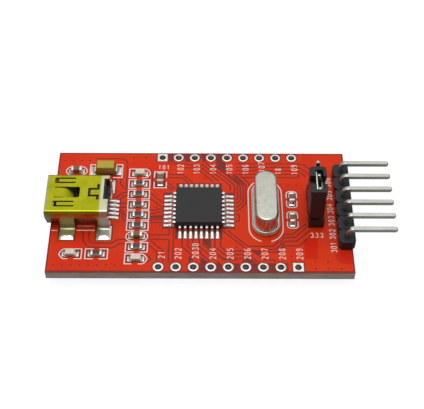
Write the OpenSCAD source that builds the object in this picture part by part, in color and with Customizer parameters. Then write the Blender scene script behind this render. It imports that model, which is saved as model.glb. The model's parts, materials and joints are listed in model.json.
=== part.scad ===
// Small USB serial adapter board: a populated printed circuit board with its
// connectors, crystal, controller chip and a pull-off jumper cap.
// Millimetres. Origin at the centre of the board's underside, +Z up,
// +X towards the bent pin header, +Y towards the row of holes with the square first pad.

/* [Board] */
// Board length along X
pcb_l = 44.8; // [44.6:0.1:46]
// Board width along Y
pcb_w = 23.1; // [23:0.1:24]
// Finished board thickness, solder masks included
pcb_t = 1.6; // [1.4:0.1:2]

/* [Edge holes] */
// Pitch of the hole rows and pin rows
pitch = 2.54; // [2.54]
// Holes in each of the two edge rows
edge_n = 9; // [6:1:9]
// Distance of each row from the board's long centre line
edge_y = 10.6; // [10.5:0.05:10.65]
// X of the first hole of a row
edge_x0 = -6.1; // [-6.2:0.05:-6]
// Finished diameter of an edge hole
edge_d = 1.0; // [0.9:0.05:1.1]
// Diameter of the ring around a hole
ring_d = 1.5; // [1.45:0.05:1.6]

/* [Controller chip] */
// Side of the square moulded body
ic_a = 7; // [7]
// Height of the moulded body
ic_h = 1.4; // [1.3:0.05:1.5]
// Lead pitch
ic_p = 0.8; // [0.8]
// Lead width
ic_lead_w = 0.37; // [0.3:0.01:0.42]
// Distance between opposite lead tips
ic_span = 9; // [8.8:0.1:9.2]

/* [Crystal] */
// Length of the base flange along Y
xt_l = 10.5; // [10.4:0.05:10.8]
// Width of the base flange along X
xt_w = 4.16; // [4.1:0.02:4.3]
// Height over the board
xt_h = 3.5; // [3.3:0.1:4]

/* [USB receptacle] */
// Length of the shell along X
usb_l = 9.25; // [9:0.05:9.4]
// Width of the shell
usb_w = 7.4; // [7.4:0.1:7.7]
// Height of the shell over the board
usb_h = 3.9; // [3.8:0.05:4]
// Sheet thickness of the shell
usb_t = 0.25; // [0.25:0.05:0.3]

/* [Headers] */
// Side of a square pin
pin_a = 0.64; // [0.6:0.01:0.66]
// Height of a pin row's plastic
hdr_h = 1.75; // [1.7:0.05:2]
// Height of the bent pins' centre line over the board
bend_z = 3.3; // [3.3:0.05:3.6]
// X of the bent pins' ends
tip_x = 28.64; // [27:0.1:30]
// Height of the jumper pins' tips over the board
jmp_tip = 8.05; // [7.8:0.05:8.3]
// Height of the jumper cap's plastic
cap_h = 5.95; // [5.8:0.05:6.2]

/* [Hidden] */
$fn = 48;

mask_t = 0.025;              // solder mask, each side
foil_t = 0.035;              // copper foil, each side
plate_t = 0.03;              // plating inside a hole
lam0 = mask_t;               // underside of the laminate
lam1 = pcb_t - mask_t;       // top of the laminate
seat = pcb_t + 0.01;         // top of the tinned pads, which all parts stand on
open_m = 0.05;               // mask opening past a pad's edge

// centres
ic_x = -0.27; ic_y = -0.15;
xt_x = 9.78; xt_y = 0.12; xt_pitch = 4.88;
usb_x0 = -22.95; usb_y = 0.03;
hdr_x = 21.5; jmp_x = 17.25; hdr_y = 0.15;
cap_x = 17.05;
tan_x = -14.8; tan_y = 7.72;

// through holes: [x, y, finished radius, ring radius, square ring]
edge_holes = [for (s = [1, -1], i = [0 : edge_n - 1]) [edge_x0 + i * pitch, s * edge_y, edge_d / 2, ring_d / 2,
    (s > 0 && i == 0) || (s < 0 && i == edge_n - 1)]];
hdr_holes = [for (i = [0 : 5]) [hdr_x, hdr_y + (2.5 - i) * pitch, 0.5, 0.8, i == 0]];
jmp_holes = [for (i = [0 : 2]) [jmp_x, hdr_y + (1 - i) * pitch, 0.5, 0.8, i == 0]];
xt_holes = [for (s = [1, -1]) [xt_x, xt_y + s * xt_pitch / 2, 0.4, 0.7, false]];
plated = concat(edge_holes, hdr_holes, jmp_holes, xt_holes);
pegs = [for (s = [1, -1]) [-16.0, usb_y + s * 1.9]];
peg_r = 0.45;
vias = concat(
    [for (i = [0 : 3]) [-21.4 + 1.28 * i, 9.9]],
    [for (i = [0 : 7]) [-21.3 + 1.27 * i, -10.33]],
    [for (i = [0 : 1], j = [0 : 1]) [-10.6 + 1.9 * i, 10.55 - 1.2 * j]],
    [for (i = [0 : 2]) [12.2 + 1.3 * i, 4.88]],
    [for (i = [0 : 2], j = [0 : 1]) [16.7 + 1.88 * i, -9.65 - 1.25 * j]],
    [[-6.75, 2.95], [-6.7, 0.5], [-6.1, -3.05], [0.6, 6.3], [5.3, -7.05], [-7.55, -5.2], [13.3, -8.6]]);
via_r = 0.15;

// chip parts: [x, y, along Y]
res = [[-9.52, 5.08, false], [-9.51, 2.98, false], [-9.48, 0.92, false], [-9.43, -1.10, false], [-9.44, -3.10, false], [-9.39, -7.10, false], [-15.2, -8.33, false]];
cap = [[-9.44, -5.10, false], [-19.4, 7.7, false], [-6.3, 5.97, true], [13.85, 2.1, true], [13.8, -1.9, true]];
led = [[-9.5, 7.2, false], [-9.4, -9.2, false], [-19.0, -8.33, false]];
chips = concat(res, cap, led);

// pads: [x, y, length along X, length along Y]
function chip_pads(c) = [for (s = [-1, 1]) c[2] ? [c[0], c[1] + s * 0.78, 0.86, 0.85] : [c[0] + s * 0.78, c[1], 0.85, 0.86]];
ic_pad_r = 4.5; ic_pad_l = 1.5; ic_pad_w = 0.45;
ic_pads = [for (k = [-3.5 : 1 : 3.5], s = [-1, 1], v = [0, 1]) v == 0
    ? [ic_x + s * ic_pad_r, ic_y + k * ic_p, ic_pad_l, ic_pad_w]
    : [ic_x + k * ic_p, ic_y + s * ic_pad_r, ic_pad_w, ic_pad_l]];
usb_tabs = [for (x = [-19.85, -14.35], s = [-1, 1]) [x, usb_y + s * 4.5, 2.15, 2.6]];
usb_feet = [for (k = [-2 : 2]) [-13.2, usb_y + k * 0.8, 1.6, 0.45]];
tan_pads = [for (s = [-1, 1]) [tan_x + s * 1.55, tan_y, 1.6, 1.5]];
pads = concat([for (c = chips) each chip_pads(c)], ic_pads, usb_tabs, usb_feet, tan_pads);

// a box from its centre in X and Y and its low face in Z
module slab(x, y, z, l, w, h) translate([x - l / 2, y - w / 2, z]) cube([l, w, h]);
module rod(x, y, z, r, h) translate([x, y, z]) cylinder(r = r, h = h);
// flat outline with two straight sides and two round ends, long along Y
module stadium(l, w) union() {
    square([w, l - w], center = true);
    for (s = [-1, 1]) translate([0, s * (l - w) / 2]) circle(d = w);
}
// a ring pad, round or square
module ring2d(h, grow) if (h[4]) square(2 * (h[3] + grow), center = true); else circle(r = h[3] + grow);
// turns a chip part that lies along X to its own direction and place
module at_chip(c) translate([c[0], c[1], seat]) rotate([0, 0, c[2] ? 90 : 0]) children();

// thick strip along a centre line of [x, z] points
function unit(v) = v / norm(v);
function perp(v) = [-v[1], v[0]];
function side(p, i) = let (n = len(p), a = i > 0 ? perp(unit(p[i] - p[i - 1])) : perp(unit(p[1] - p[0])),
    b = i < n - 1 ? perp(unit(p[i + 1] - p[i])) : a, m = unit(a + b)) m / (m * a);
function strip(p, t) = concat([for (i = [0 : len(p) - 1]) p[i] + side(p, i) * t / 2], [for (i = [len(p) - 1 : -1 : 0]) p[i] - side(p, i) * t / 2]);
function arc(c, r, a0, a1, n = 5) = [for (k = [0 : n]) [c[0] + r * cos(a0 + (a1 - a0) * k / n), c[1] + r * sin(a0 + (a1 - a0) * k / n)]];
// a strip drawn in X and Z, standing w wide about Y = 0
module sheet(p, t, w) rotate([90, 0, 0]) translate([0, 0, -w / 2]) linear_extrude(w) polygon(strip(p, t));

// ---- board ----
module board_holes(grow = 0) {
    for (h = plated) rod(h[0], h[1], -1, h[2] + grow, pcb_t + 2);
    for (p = pegs) rod(p[0], p[1], -1, peg_r + 0.05, pcb_t + 2);
}
module foil(z) difference() {
    slab(0, 0, z, pcb_l - 0.8, pcb_w - 0.9, foil_t);
    for (h = plated) rod(h[0], h[1], z - 1, h[2] + 0.2, 2);
    for (p = pegs) rod(p[0], p[1], z - 1, peg_r + 0.3, 2);
    for (v = vias) rod(v[0], v[1], z - 1, via_r, 2);
}
module pcb_laminate() color([0.62, 0.55, 0.45]) difference() {
    slab(0, 0, lam0, pcb_l, pcb_w, lam1 - lam0);
    foil(lam1 - foil_t);
    foil(lam0);
    board_holes(plate_t);
    for (v = vias) rod(v[0], v[1], -1, via_r, pcb_t + 2);
}
module copper_foil_top() color([0.80, 0.47, 0.28]) foil(lam1 - foil_t);
module copper_foil_bottom() color([0.80, 0.47, 0.28]) foil(lam0);
module mask(z, smd) color([0.86, 0.20, 0.10]) difference() {
    slab(0, 0, z, pcb_l, pcb_w, mask_t);
    for (h = plated) translate([h[0], h[1], z - 1]) linear_extrude(2) ring2d(h, open_m);
    for (p = pegs) rod(p[0], p[1], z - 1, peg_r + 0.05, 2);
    if (smd) for (p = pads) slab(p[0], p[1], z - 1, p[2] + 2 * open_m, p[3] + 2 * open_m, 2);
}
module solder_mask_top() mask(lam1, true);
module solder_mask_bottom() mask(0, false);
module annular_barrels() color([0.85, 0.85, 0.82]) for (h = plated) difference() {
    union() {
        rod(h[0], h[1], lam0, h[2] + plate_t, lam1 - lam0);
        translate([h[0], h[1], lam1]) linear_extrude(seat - lam1) ring2d(h, 0);
        translate([h[0], h[1], -0.01]) linear_extrude(lam0 + 0.01) ring2d(h, 0);
    }
    rod(h[0], h[1], -1, h[2], pcb_t + 2);
}
module via_barrels() color([0.72, 0.42, 0.25]) for (v = vias) difference() {
    rod(v[0], v[1], lam0, via_r, lam1 - lam0);
    rod(v[0], v[1], -1, via_r - plate_t, pcb_t + 2);
}
module smd_pads() color([0.85, 0.85, 0.83]) for (p = pads) slab(p[0], p[1], lam1, p[2], p[3], seat - lam1);

// ---- white ink: outlines round the parts, 0.015 thick ----
ink = 0.16; ink_t = 0.015;
module ink_bar(x0, y0, x1, y1) slab((x0 + x1) / 2, (y0 + y1) / 2, pcb_t, abs(x1 - x0) + ink, abs(y1 - y0) + ink, ink_t);
// a part's outline with a gap in the middle of its long sides
module outline(c, l, w, gap) translate([c[0], c[1], 0]) rotate([0, 0, c[2] ? 90 : 0]) {
    for (s = [-1, 1]) {
        ink_bar(s * l / 2, -w / 2, s * l / 2, w / 2);
        for (t = [-1, 1]) ink_bar(s * (gap / 2 + ink / 2), t * w / 2, s * (l / 2 - ink), t * w / 2);
    }
}
module silkscreen_top() color([0.96, 0.90, 0.88]) {
    for (c = concat(res, led)) outline(c, 3.2, 1.72, 0.8);
    for (c = cap) outline(c, c[0] > 10 ? 3.1 : 3.2, 1.72, 0.8);
    outline([tan_x, tan_y, false], 5.0, 2.6, 1.0);
    // pocket line round the crystal, open at its near end
    translate([xt_x, xt_y, pcb_t]) linear_extrude(ink_t) difference() {
        stadium(11.9, 5.3);
        stadium(11.9 - 2 * ink, 5.3 - 2 * ink);
        translate([0, -6]) square([1.3, 2], center = true);
    }
    for (s = [-1, 1]) {
        ink_bar(-18.5, usb_y + s * 4.0, -15.8, usb_y + s * 4.0);
        ink_bar(-22.2, usb_y + s * 4.0, -21.3, usb_y + s * 4.0);
    }
}

// ---- controller chip ----
ic_z0 = seat + 0.1; ic_mid = ic_h / 2;
die_a = 2.6; die_t = 0.28; pad_a = 3.6; pad_t = 0.125; die_z = 0.52;
module ic_die_at(a, z, t) slab(ic_x, ic_y, ic_z0 + z, a, a, t);
// side view of the moulding: widest at the mould's parting line
module ic_side() translate([0, 0, -10]) linear_extrude(20) polygon([[-ic_a / 2, ic_mid - 0.07], [-ic_a / 2, ic_mid + 0.07], [-ic_a / 2 + 0.13, ic_h], [ic_a / 2 - 0.13, ic_h],
    [ic_a / 2, ic_mid + 0.07], [ic_a / 2, ic_mid - 0.07], [ic_a / 2 - 0.13, 0], [-ic_a / 2 + 0.13, 0]]);
ic_c = 0.32;
ic_root = 0.45;   // length of a lead inside the moulding, short enough that corner leads stay apart
module ic_body() color([0.20, 0.20, 0.21]) difference() {
    translate([ic_x, ic_y, ic_z0]) intersection() {
        rotate([90, 0, 0]) ic_side();
        rotate([90, 0, 90]) ic_side();
        linear_extrude(ic_h) polygon([for (q = [[1, 1], [-1, 1], [-1, -1], [1, -1]]) each
            q[0] * q[1] > 0 ? [[q[0] * ic_a / 2, q[1] * (ic_a / 2 - ic_c)], [q[0] * (ic_a / 2 - ic_c), q[1] * ic_a / 2]]
                            : [[q[0] * (ic_a / 2 - ic_c), q[1] * ic_a / 2], [q[0] * ic_a / 2, q[1] * (ic_a / 2 - ic_c)]]]);
    }
    ic_die_at(pad_a, die_z - pad_t, pad_t);
    ic_die_at(die_a, die_z, die_t);
    for (r = [0 : 3], k = [-3.5 : 3.5]) translate([ic_x, ic_y, ic_z0 + ic_mid]) rotate([0, 0, 90 * r])
        translate([ic_a / 2 - ic_root, k * ic_p - ic_lead_w / 2, -0.0635]) cube([1, ic_lead_w, 0.127]);
}
// one gull wing lead, pointing along +X
module gull() let (h = 0.1 + ic_mid, t = 0.127, r = 0.16, x1 = ic_a / 2 + 0.29, x2 = ic_span / 2 - 0.47)
    sheet(concat([[ic_a / 2 - ic_root, h]], arc([x1, h - r], r, 90, 10), arc([x2 + r, t / 2 + r], r, 190, 270), [[ic_span / 2, t / 2]]), t, ic_lead_w);
module ic_leads() color([0.82, 0.82, 0.80]) for (r = [0 : 3], k = [-3.5 : 3.5])
    translate([ic_x, ic_y, seat]) rotate([0, 0, 90 * r]) translate([0, k * ic_p, 0]) gull();
module ic_die() color([0.45, 0.46, 0.52]) ic_die_at(die_a, die_z, die_t);
module ic_die_paddle() color([0.80, 0.47, 0.28]) ic_die_at(pad_a, die_z - pad_t, pad_t);

// ---- crystal ----
xt_can_l = 9.8; xt_can_w = 3.36; xt_t = 0.22; xt_base = 0.45; xt_fl = 0.3;
// a body long along Y with round ends, from its half profile of [radius, z] points, spun at each end
module capsule(p, l) {
    for (s = [0, 1]) translate([0, (s ? 1 : -1) * l / 2, 0]) rotate([0, 0, s ? 0 : 180]) rotate_extrude(angle = 180) polygon(p);
    translate([0, l / 2, 0]) rotate([90, 0, 0]) linear_extrude(l) polygon(p);
    translate([0, l / 2, 0]) rotate([90, 0, 0]) linear_extrude(l) mirror([1, 0]) polygon(p);
}
module crystal_can() color([0.72, 0.72, 0.68])
    let (r = xt_can_w / 2, rf = xt_w / 2 - 0.1, q = 0.35, z = xt_h)
    translate([xt_x, xt_y, pcb_t]) difference() {
        capsule(concat([[0, xt_base], [rf - 0.05, xt_base], [rf, xt_base + 0.05], [rf, xt_base + xt_fl - 0.1], [rf - 0.08, xt_base + xt_fl - 0.02]],
            arc([r + 0.12, xt_base + xt_fl + 0.1], 0.12, 270, 180, 4), arc([r - q, z - q], q, 0, 90, 6), [[0, z]]), xt_can_l - xt_can_w);
        capsule([[0, xt_base - 1], [r - xt_t, xt_base - 1], [r - xt_t, z - xt_t - 0.2], [r - xt_t - 0.2, z - xt_t], [0, z - xt_t]], xt_can_l - xt_can_w);
    }
module crystal_base() color([0.68, 0.68, 0.64]) difference() {
    translate([xt_x, xt_y, 0]) union() {
        translate([0, 0, seat]) linear_extrude(pcb_t + xt_base - seat) stadium(xt_l, xt_w);
        translate([0, 0, pcb_t + xt_base]) linear_extrude(0.3) stadium(xt_can_l - 0.6, xt_can_w - 0.6);
    }
    for (h = xt_holes) rod(h[0], h[1], seat - 1, 0.65, 3);
}
module crystal_seals() color([0.25, 0.45, 0.40]) for (h = xt_holes) difference() {
    rod(h[0], h[1], seat, 0.65, pcb_t + xt_base + 0.3 - seat);
    rod(h[0], h[1], 0, 0.215, 5);
}
xt_in = pcb_t + xt_base + 0.3;   // top of the base inside the can
module crystal_leads() color([0.80, 0.80, 0.77]) for (h = xt_holes) rod(h[0], h[1], -1.25, 0.215, xt_in + 0.35 + 1.25);
// springs on the leads, which hold the blank by its ends
module crystal_clips() color([0.75, 0.74, 0.68]) for (s = [-1, 1]) {
    slab(xt_x, xt_y + s * 3.0, xt_in + 0.35, 1.2, 1.9, 0.1);
    slab(xt_x, xt_y + s * 3.9, xt_in + 0.45, 1.2, 0.1, 0.75);
}
module crystal_blank() color([0.85, 0.88, 0.90]) slab(xt_x, xt_y, xt_in + 0.8, 1.9, 7.7, 0.12);

// ---- USB receptacle ----
usb_x1 = usb_x0 + usb_l;
// mouth view of the shell, [y, z], wide side up
module usb_outline(inset) offset(r = 0.42 - inset) offset(delta = -0.42) let (w = usb_w / 2)
    polygon([[-w, usb_h], [w, usb_h], [w, 2.5], [w - 0.85, 0.62], [w - 0.9, 0], [-w + 0.9, 0], [-w + 0.85, 0.62], [-w, 2.5]]);
module usb_bar(x0, x1, inset) translate([x0, usb_y, pcb_t]) rotate([90, 0, 90]) linear_extrude(x1 - x0) usb_outline(inset);
// a cut through the shell's top, its corners rounded by q
module top_cut(x0, x1, y0, y1, q = 0.1) translate([0, 0, pcb_t + usb_h - 1]) linear_extrude(2)
    offset(r = q) offset(delta = -q) translate([x0, y0]) square([x1 - x0, y1 - y0]);
module usb_shell() color([0.68, 0.68, 0.20]) union() {
    difference() {
        usb_bar(usb_x0, usb_x1, 0);
        usb_bar(usb_x0 - 1, usb_x1 + 1, usb_t);
        translate([usb_x0 - 1, usb_y - 4, 0]) cube([usb_l + 2, 8, seat]);
        for (p = pegs) rod(p[0], p[1], 0, peg_r + 0.05, pcb_t + 0.6);
        // open floor at the back, where the contacts come down to the board
        translate([usb_x1 - 1.2, usb_y - 2.2, 0]) cube([2, 4.4, pcb_t + 0.6]);
        // open top at the back, between two ears
        translate([usb_x1 - 0.72, -1.16, pcb_t + usb_h - 1]) cube([2, 3.99, 2]);
        // two long windows, each with a spring finger rooted at its inner end
        for (y = [2.45, -2.05]) difference() {
            top_cut(-21.8, -18.68, y - 0.55, y + 0.55, 0.16);
            top_cut(-21.2, -18.0, y - 0.29, y + 0.29, 0.02);
        }
        // the middle window, whose finger is bent down into the mouth
        top_cut(-21.8, -17.95, -0.87, 1.2, 0.3);
        // the clip's bracket shaped cut
        top_cut(-16.72, -16.33, -0.71, 0.96);
        for (y = [0.795, -0.495]) top_cut(-16.6, -15.1, y - 0.18, y + 0.18, 0.02);
        top_cut(-15.43, -15.03, 0.62, 1.74);
        top_cut(-15.45, -15.05, -1.28, -0.32);
    }
    translate([0, 0.165, pcb_t + usb_h - usb_t / 2]) sheet([[-22.2, 0], [-20.9, -0.01], [-20.3, -0.1], [-19.7, -0.36], [-18.95, -0.86]], usb_t - 0.04, 1.74);
    // solder tabs: down from the side walls and out over the pads
    for (x = [-19.75, -14.35], s = [-1, 1]) translate([x, usb_y, pcb_t]) rotate([0, 0, 90 * s])
        sheet(concat([[usb_w / 2 - 0.13, 2.6]], arc([usb_w / 2 + 0.47, 0.75], 0.6, 180, 270, 6), [[5.2, 0.15]]), usb_t - 0.02, x < -17 ? 2.2 : 1.7);
}
usb_back = -16.9;   // front of the block that closes the receptacle's back
tongue_z = 1.62;    // underside of the tongue over the board
module usb_insulator() color([0.12, 0.12, 0.13]) difference() {
    union() {
        difference() {
            usb_bar(usb_back, usb_x1 - 0.05, usb_t);
            translate([usb_x1 - 1.5, usb_y - 2.2, 0]) cube([3, 4.4, pcb_t + tongue_z]);
        }
        slab((usb_x0 + 1.1 + usb_back) / 2, usb_y, pcb_t + tongue_z, usb_back - usb_x0 - 1.1, 4.3, 0.95);
        for (p = pegs) rod(p[0], p[1], pcb_t - 1.2, peg_r, 1.6);
    }
    for (k = [-2 : 2]) slab((usb_x0 + 1.3 + usb_x1) / 2, usb_y + k * 0.8, pcb_t + tongue_z, usb_x1 - usb_x0 - 1.3 + 1, 0.34, 0.2);
    // lower behind, where the shell's top is open
    translate([usb_x1 - 0.45, usb_y - 1.1, pcb_t + 2.5]) cube([2, 3.8, 3]);
    translate([usb_x0 - 1, usb_y - 4, seat - 3]) difference() {
        cube([usb_l + 2, 8, 3]);
        for (p = pegs) translate([p[0] - usb_x0 + 1, p[1] - usb_y + 4, -1]) cylinder(r = peg_r, h = 6);
    }
}
module usb_contacts() color([0.86, 0.80, 0.62]) for (k = [-2 : 2]) translate([0, usb_y + k * 0.8, 0])
    sheet(concat([[usb_x0 + 1.45, pcb_t + tongue_z + 0.1]], arc([usb_x1 - 0.45, pcb_t + tongue_z - 0.15], 0.25, 90, 0),
        arc([usb_x1 + 0.05, seat + 0.35], 0.25, 180, 270), [[usb_x1 + 0.95, seat + 0.1]]), 0.2, 0.34);

// ---- tantalum capacitor ----
module tan_side(l, h, q) translate([0, 0, -5]) linear_extrude(10) polygon([[-l / 2 + 0.06, 0.12], [-l / 2, 0.62], [-l / 2, 0.74], [-l / 2 + q - 0.05, h - 0.08], [-l / 2 + q, h], [l / 2 - q, h], [l / 2 - q + 0.05, h - 0.08], [l / 2, 0.74], [l / 2, 0.62], [l / 2 - 0.06, 0.12]]);
module tantalum_body() color([0.74, 0.66, 0.22]) difference() {
    translate([tan_x, tan_y, seat]) intersection() {
        rotate([90, 0, 0]) tan_side(3.2, 1.65, 0.36);
        rotate([90, 0, 90]) tan_side(1.74, 1.65, 0.14);
    }
    slab(tan_x + 0.2, tan_y, seat + 0.45, 1.9, 1.0, 0.8);
    rod_x(tan_x - 1.2, tan_y, seat + 0.68, 0.1, 0.45);
    for (s = [-1, 1]) slab(tan_x + s * 1.5, tan_y, seat + 0.62, 0.6, 1.2, 0.12);
}
module rod_x(x, y, z, r, l) translate([x, y, z]) rotate([0, 90, 0]) cylinder(r = r, h = l);
module tantalum_slug() color([0.25, 0.25, 0.27]) {
    slab(tan_x + 0.2, tan_y, seat + 0.45, 1.9, 1.0, 0.8);
    rod_x(tan_x - 1.2, tan_y, seat + 0.68, 0.1, 0.45);
}
module tantalum_terminals() color([0.80, 0.80, 0.78]) for (s = [-1, 1]) translate([tan_x, tan_y, seat]) rotate([0, 0, s > 0 ? 0 : 180])
    sheet([[1.25, 0.68], [1.68, 0.68], [1.68, 0.06], [0.85, 0.06]], 0.12, 1.2);

// ---- chip resistors ----
module resistor_bodies() color([0.88, 0.87, 0.84]) for (c = res) at_chip(c) slab(0, 0, 0.03, 1.54, 0.8, 0.36);
module resistor_terminations() color([0.84, 0.84, 0.83]) for (c = res) at_chip(c) for (s = [-1, 1]) difference() {
    slab(s * 0.65, 0, 0, 0.3, 0.8, 0.42);
    slab(0, 0, 0.03, 1.54, 2, 0.36);
}
module resistor_glaze() color([0.16, 0.16, 0.17]) for (c = res) at_chip(c) slab(0, 0, 0.39, 1.0, 0.76, 0.04);
// ---- chip capacitors ----
function cap_w2(c) = c[2] && c[0] < 0 ? 1.0 : 0.8;
module capacitor_bodies() color([0.50, 0.40, 0.26]) for (c = cap) at_chip(c) slab(0, 0, 0.02, 1.56, cap_w2(c) - 0.04, 0.76);
module capacitor_terminations() color([0.82, 0.82, 0.81]) for (c = cap) at_chip(c) for (s = [-1, 1]) difference() {
    let (t = cap_w2(c) > 0.9 ? 0.2 : 0.34) slab(s * (0.8 - t / 2), 0, 0, t, cap_w2(c), 0.8);
    slab(0, 0, 0.02, 1.56, cap_w2(c) - 0.04, 0.76);
}
// ---- indicator lamps ----
module led_bases() color([0.90, 0.90, 0.82]) for (c = led) at_chip(c) slab(0, 0, 0.03, 1.54, 0.8, 0.24);
module led_terminals() color([0.83, 0.80, 0.70]) for (c = led) at_chip(c) for (s = [-1, 1]) difference() {
    slab(s * 0.63, 0, 0, 0.34, 0.8, 0.3);
    slab(0, 0, 0.03, 1.54, 2, 0.24);
}
module led_dies() color([0.80, 0.35, 0.30]) for (c = led) at_chip(c) slab(0, 0, 0.27, 0.3, 0.3, 0.12);
module led_lenses() color([0.86, 0.86, 0.76]) for (c = led) at_chip(c) difference() {
    rotate([90, 0, 0]) translate([0, 0, -0.4]) linear_extrude(0.8) polygon([[-0.46, 0.27], [0.46, 0.27], [0.46, 0.3], [0.72, 0.3], [0.66, 0.56], [-0.66, 0.56], [-0.72, 0.3], [-0.46, 0.3]]);
    slab(0, 0, 0.27, 0.3, 0.3, 0.12);
}

// ---- pin headers ----
// plan view of n plastic cells along Y, each with its corners cut
module cells(n, w) union() for (i = [0 : n - 1]) translate([0, (i - (n - 1) / 2) * pitch]) let (a = w / 2, b = pitch / 2, c = 0.4)
    polygon([[a, b - c], [a - c, b], [-a + c, b], [-a, b - c], [-a, -b + c], [-a + c, -b], [a - c, -b], [a, -b + c]]);
// the plastic of a pin row, with a score line across its top between the cells; cut is taken off its near end
module housing(x, n, w, cut) difference() {
    translate([x, hdr_y, seat]) linear_extrude(hdr_h) cells(n, w);
    for (i = [0 : n - 1]) slab(x, hdr_y + (i - (n - 1) / 2) * pitch, 0, pin_a, pin_a, 10);
    for (i = [1 : n - 1]) translate([x, hdr_y + (i - n / 2) * pitch, seat + hdr_h]) rotate([45, 0, 0]) cube([4, 0.24, 0.24], center = true);
    if (cut > 0) translate([x - 3, hdr_y - n * pitch / 2 - 1, 0]) cube([6, 1 + cut, 9]);
}
// a square bar along +Z with its end drawn in over the last 0.24
module pin_bar(l) intersection() {
    rotate([90, 0, 0]) translate([0, 0, -1]) linear_extrude(2) pin_side(l);
    rotate([90, 0, 90]) translate([0, 0, -1]) linear_extrude(2) pin_side(l);
}
module pin_side(l) polygon([[-pin_a / 2, 0], [pin_a / 2, 0], [pin_a / 2, l - 0.24], [0.19, l], [-0.19, l], [-pin_a / 2, l - 0.24]]);
tail = -1.4; bend_r = 0.7; bz = pcb_t + bend_z;
module header_housing() color([0.17, 0.16, 0.17]) housing(hdr_x, 6, 2.4, 0);
module header_pins() color([0.74, 0.73, 0.68]) for (h = hdr_holes) translate([h[0], h[1], 0]) {
    // tail and upright
    translate([0, 0, bz - bend_r]) mirror([0, 0, 1]) pin_bar(bz - bend_r - tail);
    translate([bend_r, 0, bz - bend_r]) rotate([90, 0, 0]) rotate([0, 0, 90]) rotate_extrude(angle = 90) translate([bend_r, 0]) square(pin_a, center = true);
    translate([bend_r, 0, bz]) rotate([0, 90, 0]) pin_bar(tip_x - hdr_x - bend_r);
}
module jumper_header_housing() color([0.17, 0.16, 0.17]) housing(jmp_x, 3, 2.3, 0.33);
module jumper_header_pins() color([0.78, 0.77, 0.72]) for (h = jmp_holes) translate([h[0], h[1], 3]) {
    pin_bar(pcb_t + jmp_tip - 3);
    mirror([0, 0, 1]) pin_bar(3 - tail);
}

// ---- jumper cap, on the two pins nearest the front ----
cap_z = 4.17;   // the cap isn't pushed right down
cap_y = hdr_y - pitch / 2; cap_l = 4.95; cap_w = 2.45;
slot_x0 = 16.71; slot_x1 = 17.77; slot_l = 3.68;
module jumper_cap_housing() color([0.18, 0.18, 0.19]) difference() {
    translate([cap_x, cap_y, cap_z]) linear_extrude(cap_h) let (a = cap_w / 2, b = cap_l / 2, c = 0.3)
        polygon([[a, b - c], [a - c, b], [-a + c, b], [-a, b - c], [-a, -b + c], [-a + c, -b], [a - c, -b], [a, -b + c]]);
    translate([slot_x0, cap_y - slot_l / 2, cap_z - 1]) cube([slot_x1 - slot_x0, slot_l, cap_h + 2]);
    // saddle across the top, between the two pins
    translate([cap_x - 3, -1.93, cap_z + cap_h - 1.35]) cube([6, 1.45, 3]);
    // finger lip: the long faces are set back below the top
    for (s = [0, 1]) translate([cap_x, cap_y, cap_z - 1]) mirror([s, 0, 0]) translate([cap_w / 2 - 0.1, -3, 0]) cube([1, 6, cap_h - 0.1]);
}
// folded spring sleeve that joins the two pins, with one tall side
module jumper_cap_contact() color([0.80, 0.79, 0.75]) difference() {
    union() {
        translate([slot_x0, cap_y - slot_l / 2, cap_z + 0.3]) cube([0.19, slot_l, 5.45]);
        translate([slot_x0, cap_y - slot_l / 2, cap_z + 0.3]) cube([slot_x1 - slot_x0, slot_l, 4.2]);
    }
    translate([jmp_x - pin_a / 2 - 0.03, cap_y - 1.66, cap_z - 1]) cube([pin_a + 0.06, 3.32, 8]);
    // slits that free the two gripping leaves
    for (s = [-1, 1]) translate([jmp_x + 0.3, cap_y + s * 0.75 - 0.12, cap_z + 0.2]) cube([1, 0.24, 3.6]);
}

// ---- solder ----
// side view of a fillet: from its foot up the end of a part
module fillet(l, w, h) rotate([90, 0, 0]) translate([0, 0, -w / 2]) linear_extrude(w) polygon([[0, 0], [l, 0], [l * 0.45, h * 0.25], [l * 0.12, h * 0.65], [0, h]]);
module solder_fillets() color([0.80, 0.80, 0.79]) {
    for (c = chips) at_chip(c) for (s = [0, 180]) rotate([0, 0, s]) translate([0.8, 0, 0]) fillet(0.38, 0.78, 0.3);
    for (s = [0, 180]) translate([tan_x, tan_y, seat]) rotate([0, 0, s]) translate([1.74, 0, 0]) fillet(0.55, 1.2, 0.45);
    for (r = [0 : 3], k = [-3.5 : 3.5]) translate([ic_x, ic_y, seat]) rotate([0, 0, 90 * r]) translate([ic_span / 2, k * ic_p, 0]) fillet(0.7, 0.42, 0.12);
    for (x = [-19.75, -14.35], s = [-1, 1]) translate([x, usb_y + s * 5.2, seat]) rotate([0, 0, 90 * s]) fillet(0.56, x < -17 ? 2.0 : 1.6, 0.24);
    for (k = [-2 : 2]) translate([usb_x1 + 0.95, usb_y + k * 0.8, seat]) fillet(0.3, 0.34, 0.17);
}
module joint(h, lead_r, square_lead) difference() {
    union() {
        rod(h[0], h[1], -0.01, h[2], seat + 0.01);
        translate([h[0], h[1], -0.86]) cylinder(r1 = lead_r + 0.1, r2 = h[3] - 0.03, h = 0.85);
    }
    if (square_lead) slab(h[0], h[1], -2, pin_a, pin_a, 6); else rod(h[0], h[1], -2, lead_r, 6);
}
module solder_joints() color([0.78, 0.78, 0.77]) {
    for (h = concat(hdr_holes, jmp_holes)) joint(h, pin_a * 0.7072, true);
    for (h = xt_holes) joint(h, 0.215, false);
}

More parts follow.
